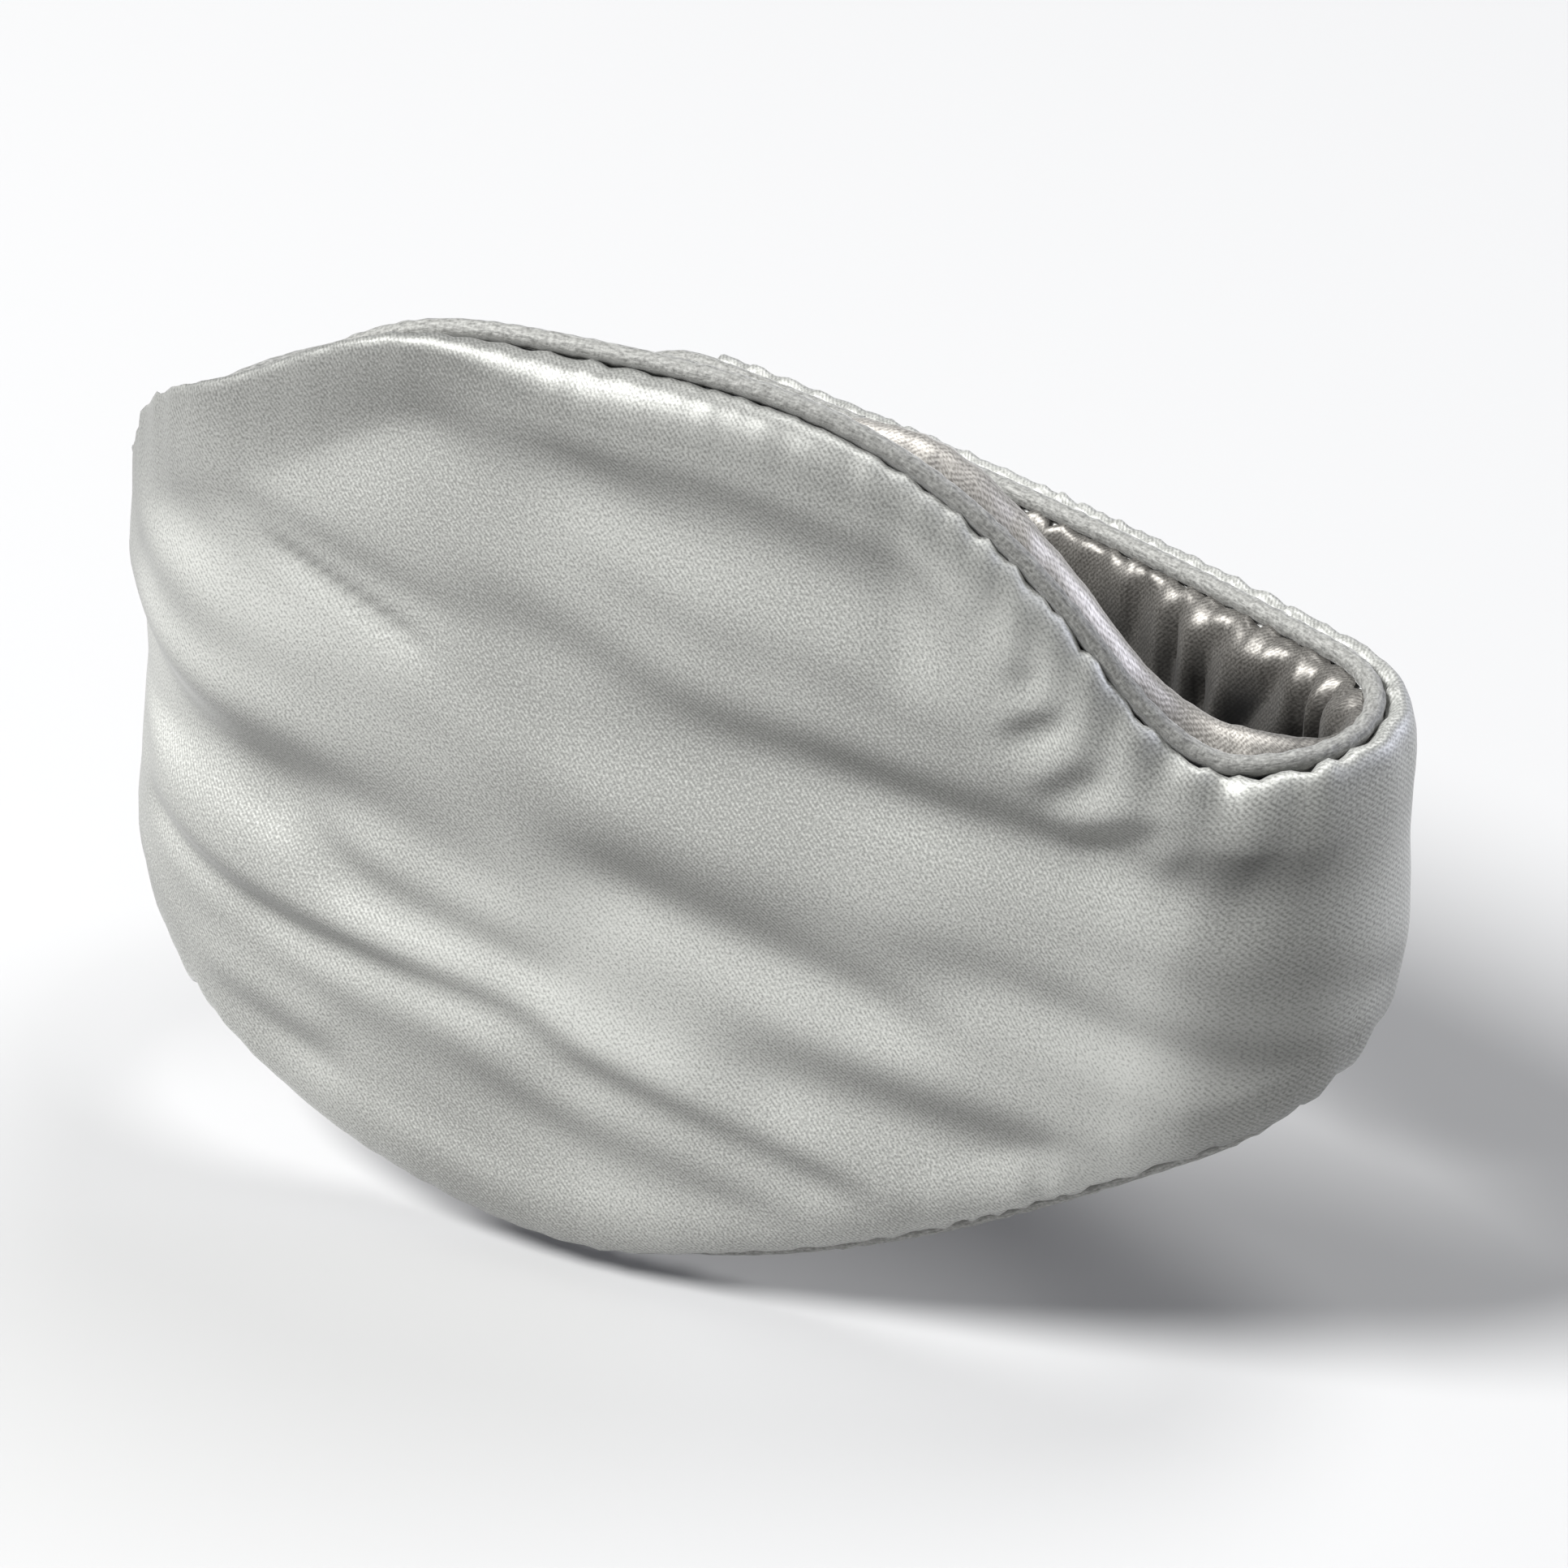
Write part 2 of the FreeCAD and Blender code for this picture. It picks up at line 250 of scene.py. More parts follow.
# ---- fastening tapes ----
TAPE_HALF_HEIGHT = 12.0
TAPE_MARGIN = 8.0
LOOP_TAPE_LENGTH = 80.0
HOOK_TAPE_LENGTH = 28.0
TAPE_GROUND = 0.7  # thickness of the woven ground of a tape
TAPE_LIFT = 0.2  # it lies this far over the satin
TAPE_ROWS = 25
TAPE_WEAVE = 0.06
TAPE_WEAVE_RATE = 5.0
TAPE_CRUMPLE = (61, 0.05, (1.5, 4.0), 1.0)
HOOK_PITCH = 1.3
HOOK_HALF = (0.12, 0.45, 0.16)  # half a hook's size along, proud and up
HOOK_MARGIN = 1.2  # between the stitches and the hooks
STITCH_LENGTH = 2.2
STITCH_GAP = 1.3
STITCH_INSET = 1.4
STITCH_LIFT = 0.1
STITCH_HALF_HEIGHT = 0.16
STITCH_HALF_WIDTH = 0.2
BAR_TAPER = 0.7  # stitches and hooks are narrower on top

# ---- side label ----
LABEL_LENGTH = 40.0
LABEL_DROP = 10.0
LABEL_FROM_TIP = 90.0
LABEL_THICKNESS = 0.3
LABEL_FOLD = 0.55  # radius of its fold at the bottom
LABEL_TUCK = 0.6  # share of the piping's radius
LABEL_BOW = 0.35
LABEL_BOW_TURN = 2.4
LABEL_COLUMNS = 48
LABEL_ROWS = 12  # of each face
LABEL_FOLD_ROWS = 7
RED_STITCHES = 4  # in each end of each face
RED_STITCH_PITCH = 2.1
RED_STITCH_INSET = 1.6
RED_STITCH_LIFT = 0.12
RED_STITCH_HALF = (0.8, 0.14, 0.22)

# ---- floor, light and camera ----
FLOOR_GAP = 0.002
LIGHTS = [
    # name, position, size, power, colour; in metres and watts
    ("key", (-1.35, -1.42, 2.20), 1.2, 170, (1, 1, 1)),
    ("top", (0.15, 0.75, 1.7), 0.9, 20, (1, 1, 1)),
    ("side", (1.15, 1.35, 0.40), 0.8, 14, (0.82, 0.84, 1.0)),
]
SKY_COLOUR = (0.96, 0.98, 1.0, 1.0)
SKY_STRENGTH = 0.2
CAMERA_AZIMUTH = math.radians(31.1)
CAMERA_RISE = math.radians(30.38)
CAMERA_DISTANCE = 0.779
CAMERA_TARGET = (-0.0049, 0.0, -0.0129)
CAMERA_LENS = 136.3


# ---- the loop's plan ----
def circle_centre(first, first_distance, second, second_distance, side):
    """The point at two given distances from two points on the X axis, on the given Y side."""
    span = second - first
    along = (first_distance ** 2 - second_distance ** 2 + span ** 2) / (2 * span)
    across = math.sqrt(first_distance ** 2 - along ** 2)
    return (first + along, side * across)


def bearing(centre, target):
    """Angle of target from centre, 0 towards -Y, growing towards +X."""
    return math.atan2(target[0] - centre[0], centre[1] - target[1])


WIDE_CENTRE = (-TURN_SPACING / 2, 0.0)
TIGHT_CENTRE = (TURN_SPACING / 2, 0.0)
FRONT_CENTRE = circle_centre(
    WIDE_CENTRE[0], FRONT_RADIUS - WIDE_TURN_RADIUS,
    TIGHT_CENTRE[0], FRONT_RADIUS - TIGHT_TURN_RADIUS, 1)
REAR_CENTRE = circle_centre(
    WIDE_CENTRE[0], REAR_RADIUS - WIDE_TURN_RADIUS,
    TIGHT_CENTRE[0], REAR_RADIUS + LAP_SPACING - TIGHT_TURN_RADIUS, -1)
# Arcs of each side of the loop, as (centre, radius, bearing of its start)
TIGHT_SIDE = [
    (FRONT_CENTRE, FRONT_RADIUS, math.radians(NOSE_ANGLE)),
    (TIGHT_CENTRE, TIGHT_TURN_RADIUS, bearing(FRONT_CENTRE, TIGHT_CENTRE)),
    (REAR_CENTRE, REAR_RADIUS + LAP_SPACING, bearing(REAR_CENTRE, TIGHT_CENTRE)),
]
WIDE_SIDE = [
    (FRONT_CENTRE, FRONT_RADIUS, math.radians(NOSE_ANGLE)),
    (WIDE_CENTRE, WIDE_TURN_RADIUS, bearing(FRONT_CENTRE, WIDE_CENTRE)),
    (REAR_CENTRE, REAR_RADIUS, bearing(REAR_CENTRE, WIDE_CENTRE) - 2 * math.pi),
]


def arc_length(arcs, number):
    """Length of an arc up to where the next begins; the last one has no end."""
    if number == len(arcs) - 1:
        return math.inf
    return arcs[number][1] * abs(arcs[number + 1][2] - arcs[number][2])


def place(distance, proud, height):
    """Points of the loop in metres: distance along it, proud of its middle line, and height."""
    values = [np.asarray(value, float) for value in (distance, proud, height)]
    distance, proud, height = np.broadcast_arrays(*values)
    points = np.zeros(distance.shape + (3,))
    for arcs, way in ((TIGHT_SIDE, 1), (WIDE_SIDE, -1)):
        begin = 0.0
        for number, (centre, radius, start) in enumerate(arcs):
            end = begin + arc_length(arcs, number)
            here = (distance * way >= begin) & (distance * way < end)
            if way < 0:
                here &= distance < 0
            angle = start + way * (distance[here] * way - begin) / radius
            reach = radius + proud[here]
            points[here, 0] = centre[0] + reach * np.sin(angle)
            points[here, 1] = centre[1] - reach * np.cos(angle)
            begin = end
    points[..., 2] = height
    return points * MM


def distance_to_bearing(arcs, count, angle):
    """Distance along a side to the given bearing on its arc number count."""
    total = sum(arc_length(arcs, number) for number in range(count))
    return total + arcs[count][1] * abs(angle - arcs[count][2])


def rear_distance(arcs, x):
    """Distance along a side to the point of its rear arc at the given x."""
    centre, radius, start = arcs[2]
    angle = math.pi - math.asin((x - centre[0]) / radius)
    if start < 0:
        angle -= 2 * math.pi
    return distance_to_bearing(arcs, 2, angle)


TIGHT_SPLIT = distance_to_bearing(TIGHT_SIDE, 1, math.pi / 2)
WIDE_SPLIT = -distance_to_bearing(WIDE_SIDE, 1, -math.pi / 2)
OUTER_TIP = rear_distance(TIGHT_SIDE, OUTER_TIP_X)
INNER_TIP = -rear_distance(WIDE_SIDE, INNER_TIP_X)
TAB_SPLIT = OUTER_TIP - TAB_LENGTH
TAB_START = TAB_SPLIT - TAB_BEND - TAB_CLEARANCE


# ---- shapes along a value ----
def smooth(low, high, value):
    """0 below low, 1 above high, and smoothly from one to the other between."""
    part = np.clip((value - low) / (high - low), 0, 1)
    return part * part * (3 - 2 * part)


def hill(value, height, reach):
    """0, up to the height and down to 0 again, along a value."""
    rise_from, rise_to, fall_from, fall_to = reach
    return height * smooth(rise_from, rise_to, value) * (1 - smooth(fall_from, fall_to, value))


def swell(distance, reach, crown=2.0, fillet=2.0):
    """1 at the middle of the body, falling smoothly to 0 at the given reach."""
    part = np.minimum(np.abs(distance) / reach, 1.0)
    return (1 - part ** crown) ** fillet


def designed_seam(distance, side):
    """Height of the piping's middle as designed, on the upper (side 1) or lower (side -1) edge."""
    if side > 0:
        rise = (BROW_HEIGHT - SEAM_HEIGHT) * swell(distance, BROW_REACH, BROW_CROWN, BROW_FILLET)
        rise = rise - BROW_SAG * np.exp(-((distance - BROW_SAG_AT) / BROW_SAG_WIDTH) ** 2)
        rise = np.maximum(rise, 0.0)
    else:
        rise = (CHEEK_HEIGHT - SEAM_HEIGHT) * swell(distance, CHEEK_REACH, CHEEK_CROWN, CHEEK_FILLET)
    return side * (SEAM_HEIGHT + rise)


def seam(distance, side):
    """Height of the piping's middle, with its corners rounded off as the filling draws them."""
    distance = np.asarray(distance, float)
    shifts = np.linspace(-CORNER_EASE, CORNER_EASE, CORNER_SAMPLES)
    return sum(designed_seam(distance + shift, side) for shift in shifts) / len(shifts)


def seam_slope(distance, side):
    """Angle at which the seam climbs, taken over a millimetre."""
    return np.arctan(seam(distance + 0.5, side) - seam(distance - 0.5, side))


def waves(seed, along, across, lengths, slant=1.0):
    """Smooth random field of unit size: a sum of plane waves whose lengths lie in a range.

    slant above 1 stretches the waves across the strip, so that they read as folds."""
    random = np.random.default_rng(seed)
    total = np.zeros(np.broadcast(along, across).shape)
    for _ in range(WAVE_COUNT):
        number = 2 * math.pi / random.uniform(*lengths)
        turn = random.uniform(-WAVE_TURN, WAVE_TURN)
        phase = random.uniform(0, 2 * math.pi)
        total += np.sin(number * (along * math.cos(turn) + across * math.sin(turn) / slant) + phase)
    return total / math.sqrt(WAVE_COUNT / 2)


def field(kind, along, across):
    """A field of random waves, given by its seed, height, range of lengths and slant."""
    seed, height, lengths, slant = kind
    return height * waves(seed, along, across, lengths, slant)


# ---- meshes ----
def new_mesh(name, points, faces, flat=None):
    """Mesh object from points in metres; flat gives each point's place in the cut cloth, in metres."""
    mesh = bpy.data.meshes.new(name)
    mesh.from_pydata(points.reshape(-1, 3).tolist(), [], faces)
    mesh.update()
    if flat is not None:
        layer = mesh.uv_layers.new(name="cloth")
        corner = np.zeros(len(mesh.loops), int)
        mesh.loops.foreach_get("vertex_index", corner)
        layer.data.foreach_set("uv", flat.reshape(-1, 2)[corner].ravel())
    mesh.shade_smooth()
    piece = bpy.data.objects.new(name, mesh)
    bpy.context.scene.collection.objects.link(piece)
    return piece


def recalculate(piece):
    """All faces of a closed mesh look outwards, and its borders are crisp."""
    work = bmesh.new()
    work.from_mesh(piece.data)
    bmesh.ops.recalc_face_normals(work, faces=work.faces)
    for edge in work.edges:
        edge.smooth = edge.calc_face_angle(0.0) < CRISP_ANGLE
    work.to_mesh(piece.data)
    work.free()


def grid_faces(columns, rows, closed=False):
    """Faces of a grid; a closed one joins its last row to its first."""
    span = rows if closed else rows - 1
    faces = []
    for column in range(columns - 1):
        for row in range(span):
            after = (row + 1) % rows
            faces.append((column * rows + row, (column + 1) * rows + row,
                          (column + 1) * rows + after, column * rows + after))
    return faces


def grid_border(columns, rows):
    """Numbers of the points round a grid, in order."""
    border = list(range(rows))
    border += [column * rows + rows - 1 for column in range(1, columns)]
    border += [(columns - 1) * rows + row for row in range(rows - 2, -1, -1)]
    border += [column * rows for column in range(columns - 2, 0, -1)]
    return border


def flat_place(distance, height):
    """Place in the cut cloth, in metres."""
    return np.stack(np.broadcast_arrays(distance, height), axis=-1) * MM


def sheet_piece(name, points, flat, thickness, outward):
    """Thin closed cloth: a grid and its copy one thickness deeper, joined round the border."""
    columns, rows = points.shape[:2]
    along = np.gradient(points, axis=0)
    across = np.gradient(points, axis=1)
    normal = np.cross(along, across)
    normal /= np.maximum(np.linalg.norm(normal, axis=-1, keepdims=True), 1e-12)
    normal *= np.sign(np.sum(normal * outward)) or 1.0
    deeper = points - normal * thickness * MM
    front = grid_faces(columns, rows)
    size = columns * rows
    back = [tuple(size + corner for corner in face[::-1]) for face in front]
    border = grid_border(columns, rows)
    rim = []
    for number, corner in enumerate(border):
        after = border[(number + 1) % len(border)]
        rim.append((corner, after, size + after, size + corner))
    piece = new_mesh(name, np.concatenate([points.reshape(-1, 3), deeper.reshape(-1, 3)]),
                     front + back + rim, np.concatenate([flat.reshape(-1, 2)] * 2))
    recalculate(piece)
    return piece


def bar_piece(name, rings, flat=None):
    """Closed bar through rings of points, with a cap at each end."""
    columns, rows = rings.shape[:2]
    faces = grid_faces(columns, rows, closed=True)
    faces.append(tuple(range(rows)))
    faces.append(tuple((columns - 1) * rows + row for row in range(rows))[::-1])
    piece = new_mesh(name, rings, faces, flat)
    recalculate(piece)
    return piece


def little_bar(centre, half):
    """Box in the loop, narrower on top: its centre and half sizes along, proud and up."""
    corners = []
    for along in (-1, 1):
        for proud, up in ((-1, -1), (1, -1), (1, 1), (-1, 1)):
            taper = BAR_TAPER if proud > 0 else 1.0
            corners.append(place(centre[0] + along * half[0] * taper,
                                 centre[1] + proud * half[1],
                                 centre[2] + up * half[2] * taper))
    faces = [(0, 1, 2, 3), (7, 6, 5, 4), (0, 4, 5, 1), (1, 5, 6, 2), (2, 6, 7, 3), (3, 7, 4, 0)]
    return np.array(corners), faces


def bars_piece(name, bars):
    """Many little bars as one piece."""
    points = np.concatenate([bar_points for bar_points, _ in bars])
    faces = []
    for number, (bar_points, bar_faces) in enumerate(bars):
        start = number * len(bar_points)
        faces += [tuple(start + corner for corner in face) for face in bar_faces]
    piece = new_mesh(name, points, faces)
    recalculate(piece)
    return piece


# ---- strips of the mask ----
def rows_between(lower, upper, edge_rows, middle_rows):
    """Heights of a strip's rows, which lie closer together beside its seams."""
    margin = np.minimum(EDGE_ROUND, WIDEST_EDGE * (upper - lower))
    edge = 1 - np.cos(np.linspace(0, math.pi / 2, edge_rows))
    low_rows = lower[:, None] + margin[:, None] * edge[None, :]
    high_rows = (upper[:, None] - margin[:, None] * edge[None, :])[:, ::-1]
    part = np.linspace(0, 1, middle_rows + 2)[None, 1:-1]
    middle = low_rows[:, -1:] * (1 - part) + high_rows[:, :1] * part
    return np.concatenate([low_rows, middle, high_rows], axis=1)


class Strip:
    """A stretch of the loop as a grid: distances and heights, and how far each point is from a seam."""

    def __init__(self, start, end, rounded=False, step=COLUMN_STEP, edge_rows=EDGE_ROWS,
                 middle_rows=MIDDLE_ROWS):
        way = math.copysign(1.0, end)
        centre = end - way * SEAM_HEIGHT if rounded else end
        count = max(4, round(abs(centre - start) / step))
        distance = np.linspace(start, centre, count + 1)
        upper = seam(distance, 1) - SEAM_TUCK
        lower = seam(distance, -1) + SEAM_TUCK
        if rounded:
            turns = np.radians(np.linspace(0, ROUND_END_TURN, ROUND_END_COLUMNS)[1:])
            distance = np.concatenate([distance, centre + way * COVER_END_RADIUS * np.sin(turns)])
            upper = np.concatenate([upper, COVER_END_RADIUS * np.cos(turns)])
            lower = np.concatenate([lower, -COVER_END_RADIUS * np.cos(turns)])
        self.height = rows_between(lower, upper, edge_rows, middle_rows)
        self.distance = np.repeat(distance[:, None], self.height.shape[1], axis=1)
        self.from_upper = (upper[:, None] - self.height) * np.cos(seam_slope(distance, 1))[:, None]
        self.from_lower = (self.height - lower[:, None]) * np.cos(seam_slope(distance, -1))[:, None]
        if rounded:
            self.round_end(centre, way)
        self.from_seam = np.maximum(np.minimum(self.from_upper, self.from_lower), 0.0)
        self.upper_half = self.from_upper < self.from_lower
        self.edge_sign = np.where(self.upper_half, 1, -1)

    def round_end(self, centre, way):
        """Past the centre of a rounded end, the nearest seam is the one round it."""
        past = np.maximum((self.distance - centre) * way, 0.0)
        rim = COVER_END_RADIUS - np.hypot(past, self.height)
        ended = past > 0
        self.from_upper = np.where(ended, np.minimum(rim, self.from_upper), self.from_upper)
        self.from_lower = np.where(ended, np.minimum(rim, self.from_lower), self.from_lower)

    def rounding(self, width=EDGE_ROUND):
        """0 at a seam, rising as a quarter circle to 1 at the given width from it."""
        part = np.clip(self.from_seam / width, 0, 1)
        return np.sqrt(np.maximum(1 - (1 - part) ** 2, 0))


def pucker(strip, seed, lengths):
    """Small gathers beside the seams."""
    ripple = waves(seed, strip.distance, np.where(strip.upper_half, 0.0, PUCKER_APART), lengths)
    return ripple * np.exp(-strip.from_seam / PUCKER_FADE)


def crease(strip, start, end, width, valley, step, bow):
    """A fold in the cloth from start to end, as (distance, height) pairs.

    valley is its depth, step lifts the cloth above it and drops it below, bow curves its run."""
    run = np.array([end[0] - start[0], end[1] - start[1]])
    length = np.hypot(*run)
    unit = run / length
    along = ((strip.distance - start[0]) * unit[0] + (strip.height - start[1]) * unit[1]) / length
    off = (strip.height - start[1]) * unit[0] - (strip.distance - start[0]) * unit[1]
    off = off - bow * 4 * along * (1 - along)
    part = np.clip(1 - np.abs(2 * along - 1), 0, 1)
    taper = smooth(0, FOLD_TAPER, part)
    side = off / width
    return taper * np.exp(-side * side) * (step * side - valley)


# ---- outer satin's shape ----
def outer_puff(strip):
    """How proud the outer satin stands between its seams, before it folds."""
    d = strip.distance
    above = smooth(*DRAWN_IN_HEIGHTS, strip.height)
    puff = OUTER_PUFF + BODY_EXTRA_PUFF * swell(d, PAD_REACH)
    puff = puff - hill(-d, *DRAWN_IN) * above
    puff = puff - hill(-d, *DRAWN_IN_LOW) * (1 - above)
    return puff - (OUTER_PUFF - LAP_PUFF) * smooth(*LAP_SPAN, -d)


def outer_folds(strip):
    """The folds of the outer satin away from its seams."""
    d, h = strip.distance, strip.height
    folds = FOLD_DEPTH * sum(crease(strip, *fold) for fold in FRONT_FOLDS)
    soft = field(SOFT_FOLDS, h + 0.3 * d, d - 0.3 * h)
    fine = field(FINE_FOLDS, h + 0.4 * d, d - 0.4 * h)
    share = SOFT_FOLDS_OF_BANDS + (1 - SOFT_FOLDS_OF_BANDS) * swell(d, PAD_REACH)
    return smooth(*FOLD_SPAN, strip.from_seam) * (folds + soft * share + fine)


def outer_gathers(strip):
    """Gathers that radiate from the brow's end."""
    d, h = strip.distance, strip.height
    radiating = hill(d, 1.0, GATHER_REACH) * np.exp(-strip.from_upper / GATHER_FADE)
    return radiating * field(GATHERS, d - 0.4 * h, h)


def outer_proud(strip):
    """Proud distance of the outer satin."""
    proud = SEAM_PROUD + (outer_puff(strip) - SEAM_PROUD) * strip.rounding()
    share = OUTER_PUCKERS + hill(np.abs(strip.distance), *OUTER_TURN_PUCKERS)
    puckers = share * pucker(strip, 13, OUTER_PUCKER_LENGTHS)
    shaped = proud + outer_folds(strip) + outer_gathers(strip) + puckers
    least = SEAM_PROUD + (LEAST_PUFF - SEAM_PROUD) * strip.rounding()
    return least + np.logaddexp(0.0, (shaped - least) * LEAST_PUFF_CORNER) / LEAST_PUFF_CORNER


def outer_bulge(strip):
    """How far the outer satin swells past its seam: up over the brow, down over the cheek."""
    d = strip.distance
    upper = OUTER_BULGE + hill(d, *BROW_BULGE) + TURN_BULGE * smooth(*TURN_BULGE_SPAN, d)
    lower = OUTER_BULGE + hill(d, *CHEEK_BULGE)
    return np.where(strip.upper_half, upper, lower)


# ---- lining's shape ----
def calm_turn(distance):
    """Share of the lining's small gathers that is left where it is squeezed inside the tight turn."""
    return 1 - hill(distance, *CALMED)


def pleat(strip):
    """Soft folds across the strip, with narrow rounded valleys, between about 0.3 and 1."""
    shift = np.random.default_rng(PLEAT_SEED).uniform()
    phase = (strip.distance + PLEAT_LEAN * strip.height) / PLEAT_WIDTH
    phase = phase + field(PLEAT_WANDER, strip.distance, strip.height)
    return (np.sin(math.pi * (phase + shift)) ** 2 + PLEAT_VALLEY) ** PLEAT_SHAPE


def inner_puff(strip):
    """How far inside the loop the lining stands between its seams, before it folds."""
    d = strip.distance
    rim = hill(d, *RIM_PUFF) * (1 - smooth(*RIM_DEPTHS, strip.from_upper))
    return INNER_PUFF + INNER_BODY_PUFF * swell(d, PAD_REACH) + rim + hill(d, *BAND_PUFF)


def inner_folds(strip):
    """The pleats of the bands' lining and the gathers of the body's."""
    d, h = strip.distance, strip.height
    rear = smooth(*REAR_SPAN, np.abs(d))
    pleats = (PLEATS + hill(d, *FREE_PLEATS)) * rear * (pleat(strip) - PLEAT_MIDDLE)
    gather = swell(d, PAD_REACH) * field(LINING_FOLDS, d + 0.2 * h, h) + field(LINING_CRUMPLE, d, h)
    return smooth(*LINING_FOLD_SPAN, strip.from_seam) * (pleats + gather)


def inner_proud(strip):
    """Proud distance of the lining, which is gathered; it is below zero, inside the loop."""
    proud = SEAM_PROUD + (inner_puff(strip) - SEAM_PROUD) * strip.rounding(INNER_ROUND)
    share = LINING_PUCKERS * calm_turn(strip.distance)
    return -(proud + inner_folds(strip) + share * pucker(strip, 23, LINING_PUCKER_LENGTHS))


def inner_bulge(strip):
    """How far the lining swells past its seam: most where the body runs into the tight turn."""
    upper = INNER_BULGE + hill(strip.distance, *RIM_BULGE)
    return np.where(strip.upper_half, upper, INNER_BULGE)


# ---- satin panels ----
def bulged(strip, amount):
    """How far up or down the cloth swells past its seam, half way round its rounding."""
    level = strip.rounding()
    push = amount * 2 * level * np.sqrt(np.maximum(1 - level ** 2, 0))
    return push * strip.edge_sign


def length_across(points):
    """Length of cloth across the strip, in millimetres from its middle row."""
    steps = np.linalg.norm(np.diff(points, axis=1), axis=2) / MM
    length = np.concatenate([np.zeros((len(points), 1)), np.cumsum(steps, axis=1)], axis=1)
    return length - length[:, length.shape[1] // 2][:, None]


def seam_shade(strip, facing):
    """Painted shade and light that the folds don't give: above 0 the colour is painted darker, below 0
    paler.
    """
    d = strip.distance
    if facing > 0:
        near_seam = 1 - smooth(*BROW_PAINTED_SHADE_DEPTHS, strip.from_seam)
        brow = hill(d, *BROW_PAINTED_SHADE) * strip.upper_half * near_seam
        return brow + hill(d, *TURN_PAINTED_SHADE) * smooth(*TURN_PAINTED_SHADE_DEPTHS, strip.from_upper)
    rim = hill(d, *RIM_PAINTED_LIGHT) * (1 - smooth(*RIM_PAINTED_LIGHT_DEPTHS, strip.from_upper))
    return hill(d, *BAND_PAINTED_SHADE) * smooth(*BAND_PAINTED_SHADE_DEPTHS, strip.from_upper) - rim


def lean_shade(strip, proud, facing):
    """Painted shade and light from how much the cloth leans, away from its seams: down is above 0 and is
    painted darker, up is below 0 and is painted lighter, from -1 to 1.

    A lean along the strip counts a little as down."""
    down = np.gradient(proud * facing, axis=1) / np.gradient(strip.height, axis=1)
    along = np.abs(np.gradient(proud, axis=0) / np.maximum(np.gradient(strip.distance, axis=0), 0.3))
    inside = smooth(*LEAN_INSIDE, strip.from_seam)
    return np.clip((down + LEAN_ACROSS * along) * inside / LEAN_FULL, -1, 1)


def seam_jag(strip, facing, seed):
    """How far the gathers draw the panel's edge in or out."""
    strength = JAG + JAG_OF_BANDS * smooth(*JAG_SPAN, np.abs(strip.distance))
    if facing < 0:
        strength = strength * calm_turn(strip.distance)
    ripple = waves(seed, strip.distance, 0.0, JAG_LENGTHS)
    return strength * ripple * np.exp(-strip.from_seam / JAG_FADE) * strip.edge_sign


def satin_piece(name, strip, proud, bulge, facing, jag_seed):
    """One satin panel, with its painted shade and light kept in a point attribute."""
    height = strip.height + seam_jag(strip, facing, jag_seed) + bulged(strip, bulge)
    points = place(strip.distance, proud, height)
    outward = place(strip.distance, proud + facing, height) - points
    piece = sheet_piece(name, points, flat_place(strip.distance, length_across(points)), CLOTH, outward)
    # painted shade and light: from the lean of the folds and near the seams
    tone = lean_shade(strip, proud, facing) + seam_shade(strip, facing)
    shade = piece.data.attributes.new("painted_shade", "FLOAT", "POINT")
    shade.data.foreach_set("value", np.tile(tone.ravel(), 2))
    return piece


def tab_blend():
    """Where the cloth leaves the outer band's motion and has all of the tab's."""
    start = place(TAB_SPLIT - TAB_BEND, 0, 0)
    end = place(TAB_SPLIT + TAB_BEND, 0, 0)
    return {"start": tuple(start), "end": tuple(end)}


def attach(piece, route, material, nodes=()):
    """Give a piece its material; for a bend's name fix it in place, else set it on a body; and hide the
    design's parts that it stands for.
    """
    piece.data.materials.append(material)
    if route == "tight_turn":
        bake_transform(piece)
    elif route == "wide_turn":
        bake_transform(piece)
    elif route == "tab_bend":
        tab_blend()
        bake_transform(piece)
    else:
        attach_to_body(piece, route)
    if nodes:
        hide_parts(*nodes)
    return piece


# ---- materials ----
def link(source, output, target, entry):
    target.id_data.links.new(source.outputs[output], target.inputs[entry])


def node(tree, kind, **settings):
    made = tree.nodes.new(kind)
    for name, value in settings.items():
        setattr(made, name, value)
    return made


def set_inputs(made, values):
    for name, value in values.items():
        made.inputs[name].default_value = value


def new_material(name):
    """A material, its node tree and its shader."""
    material = bpy.data.materials.new(name)
    material.use_nodes = True
    tree = material.node_tree
    return material, tree, tree.nodes["Principled BSDF"]


def in_millimetres(tree, source, output):
    scale = node(tree, "ShaderNodeVectorMath", operation="SCALE")
    set_inputs(scale, {"Scale": 1 / MM})
    link(source, output, scale, 0)
    return scale


def cloth_coordinates(tree):
    """Place in the cut cloth, in millimetres."""
    return in_millimetres(tree, node(tree, "ShaderNodeUVMap", uv_map="cloth"), "UV")


def stripes(tree, coordinates, turn, period):
    """0 to 1 across parallel lines that lie at the given turn, one period apart."""
    direction = node(tree, "ShaderNodeVectorMath", operation="DOT_PRODUCT")
    number = 2 * math.pi / period
    set_inputs(direction, {1: (number * math.cos(turn), number * math.sin(turn), 0.0)})
    link(coordinates, 0, direction, 0)
    wave = node(tree, "ShaderNodeMath", operation="SINE")
    link(direction, "Value", wave, 0)
    level = node(tree, "ShaderNodeMapRange")
    set_inputs(level, {"From Min": -1.0})
    link(wave, 0, level, "Value")
    return level


def noise(tree, coordinates, size, detail):
    made = node(tree, "ShaderNodeTexNoise")
    set_inputs(made, {"Scale": 1.0 / size, "Detail": detail})
    link(coordinates, 0, made, "Vector")
    return made


def mixed(tree, first, first_output, second, second_output, share):
    """The first value with a share of the second in its place."""
    blend = node(tree, "ShaderNodeMix", data_type="FLOAT")
    set_inputs(blend, {"Factor": share})
    link(first, first_output, blend, "A")
    link(second, second_output, blend, "B")
    return blend


